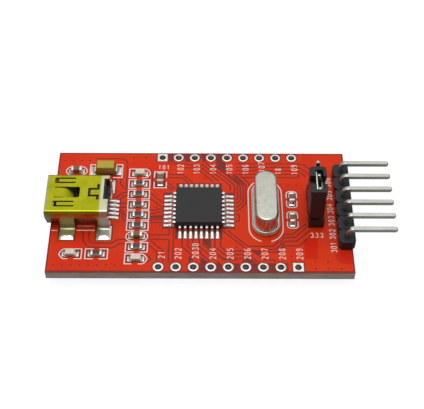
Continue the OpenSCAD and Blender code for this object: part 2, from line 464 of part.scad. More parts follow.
pcb_laminate();
copper_foil_top();
copper_foil_bottom();
solder_mask_top();
solder_mask_bottom();
silkscreen_top();
annular_barrels();
via_barrels();
smd_pads();
ic_body();
ic_leads();
ic_die();
ic_die_paddle();
crystal_can();
crystal_base();
crystal_seals();
crystal_leads();
crystal_clips();
crystal_blank();
usb_shell();
usb_insulator();
usb_contacts();
tantalum_body();
tantalum_terminals();
tantalum_slug();
resistor_bodies();
resistor_glaze();
resistor_terminations();
capacitor_bodies();
capacitor_terminations();
led_bases();
led_lenses();
led_terminals();
led_dies();
header_housing();
header_pins();
jumper_header_housing();
jumper_header_pins();
jumper_cap_housing();
jumper_cap_contact();
solder_fillets();
solder_joints();
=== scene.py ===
"""Looks of the small USB serial adapter board. Millimetres in the lists below, metres in the meshes."""

import json
import math

import bmesh
import bpy
import numpy as np
from mathutils import Matrix, Vector
from mathutils.geometry import delaunay_2d_cdt


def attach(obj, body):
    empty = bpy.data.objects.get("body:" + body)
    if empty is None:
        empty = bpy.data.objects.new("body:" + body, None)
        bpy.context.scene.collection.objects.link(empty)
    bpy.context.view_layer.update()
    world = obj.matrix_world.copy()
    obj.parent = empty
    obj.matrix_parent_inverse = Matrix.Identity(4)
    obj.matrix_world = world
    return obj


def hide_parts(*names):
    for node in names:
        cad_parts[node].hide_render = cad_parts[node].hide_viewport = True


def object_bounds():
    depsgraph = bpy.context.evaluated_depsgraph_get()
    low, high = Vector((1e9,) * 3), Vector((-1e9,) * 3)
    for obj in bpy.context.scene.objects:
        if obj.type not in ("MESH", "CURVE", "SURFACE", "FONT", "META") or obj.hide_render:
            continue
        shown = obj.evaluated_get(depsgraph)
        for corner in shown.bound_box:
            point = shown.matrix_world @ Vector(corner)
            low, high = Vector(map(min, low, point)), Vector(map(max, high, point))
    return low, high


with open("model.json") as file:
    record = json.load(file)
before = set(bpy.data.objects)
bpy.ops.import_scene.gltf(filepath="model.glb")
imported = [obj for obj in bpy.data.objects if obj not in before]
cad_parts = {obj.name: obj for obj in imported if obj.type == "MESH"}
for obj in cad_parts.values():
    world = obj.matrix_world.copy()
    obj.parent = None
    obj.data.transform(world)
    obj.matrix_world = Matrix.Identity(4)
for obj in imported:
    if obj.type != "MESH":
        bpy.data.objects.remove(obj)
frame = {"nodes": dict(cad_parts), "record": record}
cad_lo, cad_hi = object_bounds()
NODES = frame["nodes"]
RECORD = frame["record"]
BODY_OF = {n: b for b, ns in RECORD["behaviour"]["bodies"].items() for n in ns}
SLOT_OF = {s["node"]: s["material_slot"] for s in RECORD["subparts"]}
S = 0.001

# ------------------------------------------------------------------ layout, the same numbers as the CAD source
PITCH, T, SEAT = 2.54, 1.6, 1.61
HX, HY = 22.4, 11.55
EDGE = [(-6.1 + i * PITCH, s * 10.6, 0.5, 0.75, (s > 0 and i == 0) or (s < 0 and i == 8)) for s in (1, -1) for i in range(9)]
HDR = [(21.5, 0.15 + (2.5 - i) * PITCH, 0.5, 0.8, i == 0) for i in range(6)]
JMP = [(17.25, 0.15 + (1 - i) * PITCH, 0.5, 0.8, i == 0) for i in range(3)]
XTAL = [(9.78, 0.12 + s * 2.44, 0.4, 0.7, False) for s in (1, -1)]
RINGS = EDGE + HDR + JMP + XTAL
PEGS = [(-16.0, 0.03 + s * 1.9) for s in (1, -1)]
VIAS = (
    [(-21.4 + 1.28 * i, 9.9) for i in range(4)]
    + [(-21.3 + 1.27 * i, -10.33) for i in range(8)]
    + [(-10.6 + 1.9 * i, 10.55 - 1.2 * j) for i in (0, 1) for j in (0, 1)]
    + [(12.2 + 1.3 * i, 4.88) for i in range(3)]
    + [(16.7 + 1.88 * i, -9.65 - 1.25 * j) for i in range(3) for j in (0, 1)]
    + [(-6.75, 2.95), (-6.7, 0.5), (-6.1, -3.05), (0.6, 6.3), (5.3, -7.05), (-7.55, -5.2), (13.3, -8.6)]
)
RES = [(-9.52, 5.08, 0), (-9.51, 2.98, 0), (-9.48, 0.92, 0), (-9.43, -1.10, 0), (-9.44, -3.10, 0), (-9.39, -7.10, 0), (-15.2, -8.33, 0)]
CAP = [(-9.44, -5.10, 0), (-19.4, 7.7, 0), (-6.3, 5.97, 1), (13.85, 2.1, 1), (13.8, -1.9, 1)]
LED = [(-9.5, 7.2, 0), (-9.4, -9.2, 0), (-19.0, -8.33, 0)]
CHIPS = RES + CAP + LED
ICX, ICY, ICP = -0.27, -0.15, 0.8
UX1, UY = -13.7, 0.03
TX, TY = -14.8, 7.72


def chip_pads(c):
    x, y, turned = c
    return [(x, y + s * 0.78, 0.86, 0.85) if turned else (x + s * 0.78, y, 0.85, 0.86) for s in (-1, 1)]


K8 = [k - 3.5 for k in range(8)]
IC_PADS = [p for k in K8 for s in (-1, 1) for p in ((ICX + s * 4.5, ICY + k * ICP, 1.5, 0.45), (ICX + k * ICP, ICY + s * 4.5, 0.45, 1.5))]
TABS = [(x, UY + s * 4.5, 2.15, 2.6) for x in (-19.85, -14.35) for s in (-1, 1)]
FEET = [(-13.2, UY + k * 0.8, 1.6, 0.45) for k in (-2, -1, 0, 1, 2)]
TAN_PADS = [(TX + s * 1.55, TY, 1.6, 1.5) for s in (-1, 1)]
PADS = [p for c in CHIPS for p in chip_pads(c)] + IC_PADS + TABS + FEET + TAN_PADS


# ------------------------------------------------------------------ materials
def srgb(r, g, b):
    def f(c):
        c /= 255
        return c / 12.92 if c <= 0.04045 else ((c + 0.055) / 1.055) ** 2.4

    return (f(r), f(g), f(b), 1.0)


def material(name, a, b, metal=0.0, rough=0.4, spread=0.08, scale=900.0, bump=0.25, bump_scale=6000.0, dist=4e-6, coat=0.0, coat_rough=0.1, spec=0.5, stretch=(1, 1, 1), third=None):
    """A principled surface whose colour drifts between a and b, with uneven roughness and a fine grain."""
    m = bpy.data.materials.new(name)
    m.use_nodes = True
    nt = m.node_tree
    out = nt.nodes["Principled BSDF"]
    out.inputs["Metallic"].default_value = metal
    out.inputs["Coat Weight"].default_value = coat
    out.inputs["Coat Roughness"].default_value = coat_rough
    out.inputs["Specular IOR Level"].default_value = spec
    tc = nt.nodes.new("ShaderNodeTexCoord")
    mp = nt.nodes.new("ShaderNodeMapping")
    mp.inputs["Scale"].default_value = stretch
    nt.links.new(tc.outputs["Object"], mp.inputs["Vector"])

    def noise(sc, detail, rgh):
        n = nt.nodes.new("ShaderNodeTexNoise")
        n.inputs["Scale"].default_value = sc
        n.inputs["Detail"].default_value = detail
        n.inputs["Roughness"].default_value = rgh
        nt.links.new(mp.outputs["Vector"], n.inputs["Vector"])
        return n

    n1, n2 = noise(scale, 5.0, 0.6), noise(bump_scale, 3.0, 0.5)
    ramp = nt.nodes.new("ShaderNodeValToRGB")
    ramp.color_ramp.elements[0].position, ramp.color_ramp.elements[1].position = 0.32, 0.68
    ramp.color_ramp.elements[0].color, ramp.color_ramp.elements[1].color = a, b
    if third:
        e = ramp.color_ramp.elements.new(third[0])
        e.color = third[1]
    nt.links.new(n1.outputs["Fac"], ramp.inputs["Fac"])
    nt.links.new(ramp.outputs["Color"], out.inputs["Base Color"])
    mr = nt.nodes.new("ShaderNodeMapRange")
    mr.inputs["From Min"].default_value, mr.inputs["From Max"].default_value = 0.3, 0.7
    mr.inputs["To Min"].default_value, mr.inputs["To Max"].default_value = max(0.02, rough - spread), min(1.0, rough + spread)
    nt.links.new(n1.outputs["Fac"], mr.inputs["Value"])
    nt.links.new(mr.outputs["Result"], out.inputs["Roughness"])
    bp = nt.nodes.new("ShaderNodeBump")
    bp.inputs["Strength"].default_value = bump
    bp.inputs["Distance"].default_value = dist
    nt.links.new(n2.outputs["Fac"], bp.inputs["Height"])
    nt.links.new(bp.outputs["Normal"], out.inputs["Normal"])
    return m


def by_axis(m, axis, stops):
    """Multiplies a material's colour along one object axis: stops are (place in mm, colour)."""
    nt = m.node_tree
    out = nt.nodes["Principled BSDF"]
    old = out.inputs["Base Color"].links[0].from_socket
    tc = nt.nodes.new("ShaderNodeTexCoord")
    sep = nt.nodes.new("ShaderNodeSeparateXYZ")
    nt.links.new(tc.outputs["Object"], sep.inputs["Vector"])
    lo, hi = stops[0][0] * S, stops[-1][0] * S
    mr = nt.nodes.new("ShaderNodeMapRange")
    mr.inputs["From Min"].default_value, mr.inputs["From Max"].default_value = lo, hi
    nt.links.new(sep.outputs["XYZ".index(axis)], mr.inputs["Value"])
    ramp = nt.nodes.new("ShaderNodeValToRGB")
    cr = ramp.color_ramp
    cr.elements[0].position, cr.elements[0].color = 0.0, stops[0][1]
    cr.elements[1].position, cr.elements[1].color = 1.0, stops[-1][1]
    for place, colour in stops[1:-1]:
        e = cr.elements.new((place * S - lo) / (hi - lo))
        e.color = colour
    nt.links.new(mr.outputs["Result"], ramp.inputs["Fac"])
    mix = nt.nodes.new("ShaderNodeMix")
    mix.data_type, mix.blend_type = "RGBA", "MULTIPLY"
    mix.inputs["Factor"].default_value = 1.0
    mix.clamp_result = True
    nt.links.new(old, mix.inputs["A"])
    nt.links.new(ramp.outputs["Color"], mix.inputs["B"])
    nt.links.new(mix.outputs["Result"], out.inputs["Base Color"])
    return m


def lin(r, g, b):
    return (r, g, b, 1.0)


M = {}
M["mask"] = material("mask_over_copper", lin(0.80, 0.028, 0.001), lin(0.86, 0.048, 0.004), rough=0.36, spread=0.05, scale=160, bump=0.25, bump_scale=2600, dist=6e-6, coat=0.04, coat_rough=0.2, spec=0.13)
M["mask_bare"] = material("mask_over_laminate", lin(0.21, 0.018, 0.014), lin(0.29, 0.030, 0.024), rough=0.42, spread=0.06, scale=1800, bump=0.4, bump_scale=3000, dist=6e-6, coat=0.06, coat_rough=0.25, spec=0.22)
M["mask_deep"] = material("mask_over_thin_copper", lin(0.74, 0.014, 0.001), lin(0.80, 0.024, 0.002), rough=0.36, spread=0.05, scale=300, bump=0.25, bump_scale=2600, dist=6e-6, coat=0.04, coat_rough=0.2, spec=0.13)
M["laminate"] = material("laminate", lin(0.62, 0.50, 0.45), lin(0.88, 0.76, 0.68), rough=0.75, spread=0.1, scale=900, bump=0.8, bump_scale=5000, dist=2.5e-5, stretch=(0.5, 0.5, 2.4), spec=0.25, third=(0.5, lin(0.74, 0.62, 0.55)))
by_axis(M["laminate"], "Z", [(0.0, lin(0.62, 0.42, 0.38)), (0.12, lin(1, 1, 1)), (1.25, lin(0.95, 0.9, 0.9)), (1.50, lin(0.55, 0.34, 0.32)), (1.6, lin(0.45, 0.2, 0.18))])
M["ink"] = material("white_ink", srgb(252, 226, 220), srgb(255, 240, 234), rough=0.55, spread=0.08, scale=2500, bump=0.3, bump_scale=9000, dist=4e-6, spec=0.3)
M["tin"] = material("tinned_copper", lin(0.80, 0.80, 0.76), lin(0.94, 0.94, 0.92), metal=1.0, rough=0.30, spread=0.1, scale=1500, bump=0.5, bump_scale=3500, dist=8e-6)
M["lead"] = material("tinned_lead", lin(0.78, 0.78, 0.75), lin(0.92, 0.92, 0.90), metal=1.0, rough=0.27, spread=0.08, scale=2000, bump=0.3, bump_scale=7000, dist=4e-6)
M["solder"] = material("solder", lin(0.76, 0.76, 0.75), lin(0.93, 0.93, 0.93), metal=1.0, rough=0.20, spread=0.1, scale=1800, bump=0.6, bump_scale=3000, dist=1e-5)
M["mould"] = material("mould_compound", lin(0.022, 0.022, 0.023), lin(0.034, 0.034, 0.035), rough=0.62, spread=0.06, scale=5000, bump=0.55, bump_scale=16000, dist=3e-6, spec=0.42)
M["can"] = material("crystal_steel", lin(0.54, 0.54, 0.47), lin(0.66, 0.66, 0.585), metal=1.0, rough=0.26, spread=0.05, scale=1200, bump=0.35, bump_scale=5200, dist=3e-6)
M["seal"] = material("seal_glass", lin(0.05, 0.12, 0.10), lin(0.08, 0.18, 0.15), rough=0.12, scale=1500, coat=0.5)
M["bronze"] = material("tinned_bronze", lin(0.76, 0.75, 0.70), lin(0.90, 0.89, 0.84), metal=1.0, rough=0.24, scale=1600, dist=4e-6)
M["quartz"] = material("quartz_blank", lin(0.72, 0.76, 0.80), lin(0.82, 0.86, 0.90), rough=0.08, scale=1200, spec=0.6)
# painted reflection: the shell's base colour is a yellow cast, kept only on the top and upper walls by the fades below
M["shell"] = material("yellow_plated_steel", lin(0.40, 0.40, 0.010), lin(0.50, 0.50, 0.020), metal=1.0, rough=0.30, spread=0.05, scale=500, bump=0.25, bump_scale=4200, dist=4e-6)
M["plug_black"] = material("connector_plastic", lin(0.012, 0.012, 0.013), lin(0.022, 0.022, 0.024), rough=0.5, scale=2600, bump=0.4, bump_scale=9000, dist=4e-6, spec=0.4)
M["gilt"] = material("gilded_contact", lin(0.78, 0.60, 0.26), lin(0.88, 0.74, 0.42), metal=1.0, rough=0.22, scale=2000, dist=3e-6)
M["mustard"] = material("mustard_resin", lin(0.50, 0.39, 0.035), lin(0.58, 0.46, 0.055), rough=0.42, spread=0.06, scale=2400, bump=0.4, bump_scale=9000, dist=4e-6, spec=0.35)
# painted shade: the tantalum resin grows darker and browner down its sides towards the board, and only the top face
# keeps its full colour
by_axis(M["mustard"], "Z", [(1.6, lin(0.42, 0.30, 0.20)), (2.4, lin(0.55, 0.42, 0.30)), (3.05, lin(0.72, 0.60, 0.45)), (3.2, lin(1, 1, 1)), (3.4, lin(1, 1, 1))])
M["slug"] = material("sintered_slug", lin(0.03, 0.03, 0.035), lin(0.07, 0.07, 0.075), rough=0.8, scale=6000, bump=0.8, dist=1e-5)
M["alumina"] = material("alumina", lin(0.62, 0.60, 0.56), lin(0.74, 0.72, 0.68), rough=0.6, scale=4000, dist=4e-6)
M["glaze"] = material("black_glaze", lin(0.020, 0.021, 0.023), lin(0.045, 0.046, 0.05), rough=0.34, spread=0.08, scale=2600, bump=0.4, bump_scale=5000, dist=6e-6, coat=0.4, coat_rough=0.2)
M["mlcc"] = material("brown_ceramic", lin(0.16, 0.115, 0.05), lin(0.23, 0.175, 0.09), rough=0.42, scale=3200, bump=0.4, dist=5e-6, spec=0.45)
M["lamp_base"] = material("lamp_base", lin(0.60, 0.58, 0.44), lin(0.72, 0.70, 0.56), rough=0.5, scale=3000, dist=4e-6)
M["lens"] = material("milky_resin", lin(0.70, 0.68, 0.54), lin(0.86, 0.84, 0.74), rough=0.24, spread=0.08, scale=2600, bump=0.4, bump_scale=3000, dist=1.2e-5, coat=0.4, coat_rough=0.08)
M["header"] = material("header_plastic", lin(0.014, 0.014, 0.017), lin(0.024, 0.024, 0.028), rough=0.48, spread=0.07, scale=1800, bump=0.4, bump_scale=7000, dist=5e-6, spec=0.42)
M["cap"] = material("cap_plastic", lin(0.010, 0.009, 0.010), lin(0.020, 0.018, 0.019), rough=0.38, spread=0.08, scale=1200, bump=0.4, bump_scale=5000, dist=5e-6, spec=0.45)
M["pin"] = material("tinned_pin", lin(0.60, 0.60, 0.55), lin(0.72, 0.72, 0.67), metal=1.0, rough=0.30, spread=0.07, scale=1100, bump=0.35, bump_scale=3800, dist=5e-6, stretch=(0.35, 1, 1))
M["copper"] = material("copper", lin(0.70, 0.30, 0.14), lin(0.82, 0.40, 0.22), metal=1.0, rough=0.3, scale=1500, dist=4e-6)
M["silicon"] = material("silicon", lin(0.12, 0.13, 0.17), lin(0.20, 0.21, 0.26), metal=0.6, rough=0.15, scale=3000, dist=2e-6)
# painted reflection: these fades turn the mouth strip, the walls and, brighter, the rear part grey, so the painted
# yellow cast stays on the top only
by_axis(M["shell"], "X", [(-22.96, lin(0.95, 0.95, 14.0)), (-22.66, lin(0.95, 0.95, 12.0)), (-22.60, lin(1, 1, 1)), (-14.95, lin(1, 1, 1)), (-14.78, lin(1.5, 1.45, 30.0)), (-13.6, lin(1.5, 1.45, 30.0))])
by_axis(M["shell"], "Z", [(1.6, lin(1.25, 1.22, 20.0)), (4.25, lin(1.25, 1.22, 20.0)), (4.8, lin(1, 1, 1)), (5.6, lin(1, 1, 1))])
# bare steel is never brighter than this, where both fades meet: the fades take the painted yellow reflection off the
# walls, mouth and rear
cap_nt = M["shell"].node_tree
cap_out = cap_nt.nodes["Principled BSDF"]
cap_old = cap_out.inputs["Base Color"].links[0].from_socket
cap_mix = cap_nt.nodes.new("ShaderNodeMix")
cap_mix.data_type, cap_mix.blend_type = "RGBA", "DARKEN"
cap_mix.inputs["Factor"].default_value = 1.0
cap_mix.inputs["B"].default_value = (0.72, 0.70, 0.62, 1.0)
cap_nt.links.new(cap_old, cap_mix.inputs["A"])
cap_nt.links.new(cap_mix.outputs["Result"], cap_out.inputs["Base Color"])


# ------------------------------------------------------------------ mesh helpers
def put(name, mesh, mats, nodes, body="board", slot=None, smooth=None):
    o = bpy.data.objects.new(name, mesh)
    bpy.context.scene.collection.objects.link(o)
    for m in mats:
        mesh.materials.append(m)
    if smooth is not None:
        mesh.polygons.foreach_set("use_smooth", [True] * len(mesh.polygons))
        mesh.set_sharp_from_angle(angle=math.radians(smooth))
    if nodes:
        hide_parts(*nodes)
    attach(o, body)
    slot or SLOT_OF[nodes[0]]
    return o


def refine(node, mat, width=0.03, seg=2, angle=32.0, smooth=35.0):
    """A copy of a CAD node whose sharp edges are broken by a small radius, as moulding and pressing leave them."""
    me = NODES[node].data.copy()
    me.name = node + "_fine"
    me.materials.clear()
    bm = bmesh.new()
    bm.from_mesh(me)
    bmesh.ops.remove_doubles(bm, verts=bm.verts, dist=8e-7)
    bmesh.ops.dissolve_limit(bm, angle_limit=math.radians(0.6), verts=bm.verts, edges=bm.edges, delimit=set())
    bmesh.ops.recalc_face_normals(bm, faces=bm.faces)
    bm.to_mesh(me)
    bm.free()
    for f in me.polygons:
        f.material_index = 0
    for name in [a.name for a in me.attributes if a.name.startswith("custom_normal")]:
        me.attributes.remove(me.attributes[name])
    o = put(node + "_fine", me, [mat], [node], BODY_OF[node], smooth=smooth)
    if width:
        b = o.modifiers.new("edges", "BEVEL")
        b.width, b.segments, b.limit_method, b.angle_limit = width * S, seg, "ANGLE", math.radians(angle)
        b.use_clamp_overlap, b.harden_normals = True, False
        b.miter_outer = "MITER_ARC"
        w = o.modifiers.new("normals", "WEIGHTED_NORMAL")
        w.keep_sharp, w.weight = False, 60
    return o


def paint(node, mat):
    me = NODES[node].data
    me.materials.clear()
    me.materials.append(mat)


def ribbon(pts, w, closed=False):
    """Left and right sides of a flat strip w wide along pts, with mitred corners."""
    p = [Vector(q) for q in pts]
    n = len(p)
    left, right = [], []
    for i in range(n):
        a = p[i] - p[i - 1] if (i > 0 or closed) else p[1] - p[0]
        b = p[(i + 1) % n] - p[i] if (i < n - 1 or closed) else a
        a, b = a.normalized(), b.normalized()
        na, nb = Vector((-a.y, a.x)), Vector((-b.y, b.x))
        m = na + nb
        m = m.normalized() if m.length > 1e-6 else na
        k = 1 / max(0.45, m.dot(na))
        left.append(p[i] + m * (w / 2 * k))
        right.append(p[i] - m * (w / 2 * k))
    return left, right


def circle(x, y, r, n=32):
    return [(x + r * math.cos(2 * math.pi * i / n), y + r * math.sin(2 * math.pi * i / n)) for i in range(n)]


def rect(x, y, l, w):
    return [(x - l / 2, y - w / 2), (x + l / 2, y - w / 2), (x + l / 2, y + w / 2), (x - l / 2, y + w / 2)]


def inside(poly, pts):
    """Which pts are inside a simple polygon."""
    poly = np.asarray([(q[0], q[1]) for q in poly], float)
    lo, hi = poly.min(0), poly.max(0)
    near = np.nonzero((pts[:, 0] > lo[0]) & (pts[:, 0] < hi[0]) & (pts[:, 1] > lo[1]) & (pts[:, 1] < hi[1]))[0]
    res = np.zeros(len(pts), bool)
    if len(near):
        x, y = pts[near, 0], pts[near, 1]
        c = np.zeros(len(near), bool)
        for (x0, y0), (x1, y1) in zip(poly, np.roll(poly, -1, axis=0)):
            if y0 != y1:
                c ^= ((y0 > y) != (y1 > y)) & (x < (x1 - x0) * (y - y0) / (y1 - y0) + x0)
        res[near] = c
    return res


class Build:
    """Collects faces in millimetres and turns them into one mesh."""

    def __init__(self):
        self.v, self.f, self.m = [], [], []

    def add(self, verts, faces, mat=0):
        k = len(self.v)
        self.v += [tuple(v) for v in verts]
        self.f += [tuple(i + k for i in f) for f in faces]
        self.m += [mat] * len(faces)

    def mesh(self, name):
        me = bpy.data.meshes.new(name)
        me.from_pydata([(x * S, y * S, z * S) for x, y, z in self.v], [], self.f)
        me.polygons.foreach_set("material_index", self.m)
        bm = bmesh.new()
        bm.from_mesh(me)
        bmesh.ops.recalc_face_normals(bm, faces=bm.faces)
        bm.to_mesh(me)
        bm.free()
        me.update()
        return me


def strip_prism(b, pts, w, z0, z1, closed=False):
    """A closed flat bar along pts."""
    l, r = ribbon(pts, w, closed)
    n = len(l)
    v = [(q.x, q.y, z1) for q in l] + [(q.x, q.y, z1) for q in r] + [(q.x, q.y, z0) for q in l] + [(q.x, q.y, z0) for q in r]
    f = []
    for i in range(n if closed else n - 1):
        j = (i + 1) % n
        f += [(i, j, n + j, n + i), (2 * n + i, 3 * n + i, 3 * n + j, 2 * n + j), (i, 2 * n + i, 2 * n + j, j), (n + i, n + j, 3 * n + j, 3 * n + i)]
    if not closed:
        f += [(0, n, 3 * n, 2 * n), (n - 1, 3 * n - 1, 4 * n - 1, 2 * n - 1)]
    b.add(v, f)


# ------------------------------------------------------------------ solder mask with the tracks' relief
def make_mask(name, node, gaps, bare, deep, copper, openings, z_open, z_cu, z_bare, mats):
    """Lacquer over etched copper: it stands at z_cu over copper and at z_bare where the copper is etched away."""
    polys = [[(-HX, -HY), (HX, -HY), (HX, HY), (-HX, HY)]] + openings + gaps + bare + deep + copper
    vs, es = [], []
    for p in polys:
        k = len(vs)
        vs += [Vector((q[0], q[1])) for q in p]
        es += [(k + i, k + (i + 1) % len(p)) for i in range(len(p))]
    v2, _, tris, *_ = delaunay_2d_cdt(vs, es, [], 0, 1e-5)
    v2 = np.array([(v.x, v.y) for v in v2])
    tris = np.array([t for t in tris if len(t) == 3])
    area = np.abs(np.cross(v2[tris[:, 1]] - v2[tris[:, 0]], v2[tris[:, 2]] - v2[tris[:, 0]]))
    mid = v2[tris].mean(1)
    kind = np.zeros(len(tris), int)
    kind[(np.abs(mid[:, 0]) > HX) | (np.abs(mid[:, 1]) > HY)] = -1
    for group, value in ((deep, 2), (bare + gaps, 1), (copper, 0), (openings, -1)):
        for p in group:
            hit = inside(p, mid)
            kind[hit & (kind >= 0)] = value
    keep = kind >= 0
    tris, kind = tris[keep], kind[keep]
    level = {0: z_cu, 2: z_cu, 1: z_bare}
    index, verts, faces, ms = {}, [], [], []

    def vert(i, z):
        key = (int(i), round(z, 5))
        if key not in index:
            index[key] = len(verts)
            verts.append((v2[i][0], v2[i][1], z))
        return index[key]

    sides = {}
    up = z_cu > z_open
    for t, k in zip(tris, kind):
        z = level[int(k)]
        a, b, c = t
        f = (vert(a, z), vert(b, z), vert(c, z))
        faces.append(f if up else f[::-1])
        ms.append({0: 0, 1: 1, 2: 2}[int(k)])
        g = (vert(c, z_open), vert(b, z_open), vert(a, z_open))
        faces.append(g if up else g[::-1])
        ms.append(1)
        for i, j in ((a, b), (b, c), (c, a)):
            sides.setdefault((min(i, j), max(i, j)), []).append(z)
    for (i, j), zs in sides.items():
        if len(zs) == 1 or abs(zs[0] - zs[1]) > 1e-6:
            z0, z1 = (z_open, zs[0]) if len(zs) == 1 else zs
            faces.append((vert(i, z0), vert(j, z0), vert(j, z1), vert(i, z1)))
            ms.append(1)
    b = Build()
    b.v, b.f, b.m = verts, faces, ms
    return put(name, b.mesh(name), mats, [node])


def opening_list():
    out = []
    for x, y, r, rr, square in RINGS:
        out.append(rect(x, y, 2 * rr + 0.1, 2 * rr + 0.1) if square else circle(x, y, rr + 0.05, 36))
    out += [circle(x, y, 0.5, 24) for x, y in PEGS]
    return out


def track(pts, w=0.2):
    l, r = ribbon(pts, w)
    return [(q.x, q.y) for q in l] + [(q.x, q.y) for q in reversed(r)]


# etched lines of the top, each the gap beside a track
GAPS = [
    # supply side, left
    [(-16.6, 10.3), (-12.7, 10.35), (-12.2, 10.25), (-11.78, 9.9), (-11.56, 9.3), (-11.5, 5.0), (-11.4, 4.6), (-11.15, 4.25)],
    [(-12.4, 6.3), (-12.45, 5.3), (-12.35, 4.95), (-11.3, 3.8)],
    [(-13.0, 2.35), (-12.6, 2.6), (-12.1, 3.25), (-11.2, 3.45)],
    [(-12.25, 2.05), (-11.8, 2.65), (-11.2, 2.8)],
    [(-12.2, 1.22), (-11.2, 1.22)],
    [(-12.2, 0.45), (-11.2, 0.45)],
    [(-12.15, -0.35), (-11.85, -0.8), (-11.7, -1.6), (-11.35, -2.3)],
    [(-12.2, 0.05), (-11.75, -0.35), (-11.45, -0.95), (-11.2, -1.5)],
    # between the chip column and the controller
    [(-7.75, 8.0), (-7.62, 7.2), (-7.55, 6.4), (-7.5, 5.0), (-7.62, 4.3)],
    [(-7.8, 3.35), (-5.85, 1.38)],
    [(-7.8, 2.35), (-7.5, 2.0), (-5.75, 0.35)],
    [(-5.2, 5.5), (-4.05, 4.15)],
    [(-5.3, 4.75), (-4.4, 3.85)],
    [(-5.15, 7.05), (-2.95, 7.05), (-2.2, 6.4), (-1.25, 5.45)],
    [(-5.15, 6.4), (-3.05, 6.4), (-2.7, 6.15), (-1.95, 5.4)],
    [(-5.25, 9.75), (-4.7, 9.28), (-2.4, 9.25), (-2.0, 9.1), (-0.3, 9.1), (0.05, 8.8)],
    [(-2.6, 8.45), (-0.5, 8.45), (-0.2, 8.0), (0.1, 7.5), (1.95, 5.55)],
    [(-7.6, 0.1), (-7.1, -0.3), (-6.6, 0.15), (-5.75, 0.1)],
    [(-7.6, -0.75), (-6.9, -0.75), (-6.5, -0.45), (-5.7, -0.4)],
    [(-7.7, -1.95), (-5.7, -1.95)],
    [(-7.7, -2.48), (-5.7, -2.48)],
    [(-7.7, -4.8), (-4.75, -4.8), (-4.65, -4.65), (-4.65, -3.7)],
    [(-7.7, -5.65), (-4.8, -5.65), (-4.65, -5.8), (-4.65, -9.9)],
    [(-4.05, -3.9), (-4.0, -4.6), (-4.0, -9.75)],
    [(-7.35, -5.85), (-6.3, -6.95), (-5.6, -7.55), (-5.4, -8.0), (-5.4, -9.6)],
    [(-7.65, -6.65), (-6.45, -7.85), (-6.35, -8.1), (-6.35, -9.6)],
    [(-7.75, -8.55), (-7.3, -8.9), (-7.25, -9.4), (-7.7, -9.85)],
    # diagonal bundle, back right of the controller
    [(0.0, 8.5), (2.8, 5.7)],
    [(0.1, 9.25), (2.9, 6.45), (4.4, 4.95), (4.55, 4.5), (4.5, 3.9)],
    [(0.35, 9.85), (3.7, 6.5), (4.9, 5.25), (5.2, 4.7), (5.2, 3.3)],
    [(1.45, 9.55), (4.3, 6.65), (5.4, 5.5), (5.62, 5.0), (5.62, 2.2), (5.35, 1.9)],
    [(2.05, 9.0), (2.45, 8.6), (5.85, 5.2), (6.05, 4.7), (6.05, 1.9), (5.4, 1.2)],
    [(2.6, 8.95), (3.2, 8.2), (5.3, 6.1), (6.4, 4.85), (6.48, 4.5), (6.48, 1.6), (5.4, 0.45)],
    [(4.9, 7.2), (6.15, 5.9), (6.75, 5.2), (6.9, 4.8), (6.9, 1.3), (6.2, 0.5), (5.4, -0.3)],
    [(6.1, 6.9), (7.4, 5.3), (7.45, 4.6)],
    [(5.3, -0.75), (5.75, -0.95), (5.85, -1.4), (5.75, -2.1), (5.3, -2.3)],
    # rows under the back labels
    [(5.4, 9.35), (15.3, 9.35), (16.1, 9.2), (16.95, 8.35)],
    [(5.5, 8.62), (14.9, 8.62), (15.4, 8.5), (16.8, 7.2)],
    [(5.4, 7.9), (14.8, 7.9), (15.15, 7.8), (16.3, 6.7)],
    [(5.25, 7.18), (14.7, 7.18)],
    [(6.25, 6.48), (14.9, 6.48), (15.25, 6.65), (15.25, 7.0), (14.95, 7.15)],
    # under the controller's front row
    [(-2.72, -5.6), (-2.72, -7.0), (-1.35, -8.4), (-1.2, -8.8), (-1.2, -9.5)],
    [(-1.9, -5.6), (-1.85, -6.9), (-0.95, -7.85)],
    [(-1.15, -5.6), (-1.15, -6.7), (-0.3, -7.4)],
    [(-0.2, -5.6), (-0.2, -6.9), (0.25, -7.35), (2.6, -9.7), (3.3, -10.5)],
    [(0.42, -5.6), (0.42, -6.55), (1.6, -7.75)],
    [(0.0, -7.6), (0.1, -8.3), (1.35, -9.55)],
    [(1.45, -5.6), (1.45, -7.2), (3.0, -8.75), (3.3, -9.3), (5.1, -9.3), (6.0, -10.1)],
    [(2.12, -5.6), (2.12, -7.0), (3.55, -8.4), (6.5, -8.4)],
    [(2.95, -5.6), (2.95, -6.9), (3.7, -7.72), (6.6, -7.72)],
    [(2.4, -8.8), (3.4, -9.05), (6.3, -9.05)],
    [(3.3, -4.0), (6.55, -7.2), (6.75, -7.6)],
    [(4.0, -3.95), (6.85, -6.75), (7.1, -6.87), (10.6, -6.87), (11.35, -6.25), (11.6, -5.45), (12.4, -4.66), (13.6, -4.66), (15.9, -2.6)],
    [(9.9, -7.42), (11.0, -7.42), (11.8, -6.6), (12.0, -5.7), (12.45, -5.22), (13.9, -5.22), (16.1, -3.1)],
    [(9.9, -7.95), (11.2, -7.95), (12.05, -7.0), (12.2, -6.3), (12.6, -5.9), (14.2, -5.9), (16.3, -3.85)],
    [(11.4, -8.0), (12.5, -6.75), (14.5, -6.75), (16.8, -4.5)],
    [(7.35, -7.5), (8.2, -8.2), (9.35, -9.3), (10.6, -9.3), (11.3, -9.85)],
    [(7.3, -8.75), (8.75, -9.95)],
    # below the receptacle
    [(-17.65, -4.2), (-17.38, -4.6), (-17.35, -5.9), (-17.1, -6.35), (-16.65, -6.9), (-16.2, -7.1), (-13.0, -7.25), (-12.6, -7.05), (-12.0, -6.5), (-11.2, -6.42)],
    [(-16.5, -4.2), (-16.5, -5.6), (-16.3, -6.0), (-15.9, -6.38), (-13.1, -6.38), (-12.8, -6.2), (-12.4, -5.75), (-11.1, -5.62)],
    # round the crystal and its capacitors
    [(12.5, 3.4), (13.0, 3.35)],
    [(12.6, -2.1), (13.0, -2.1)],
]
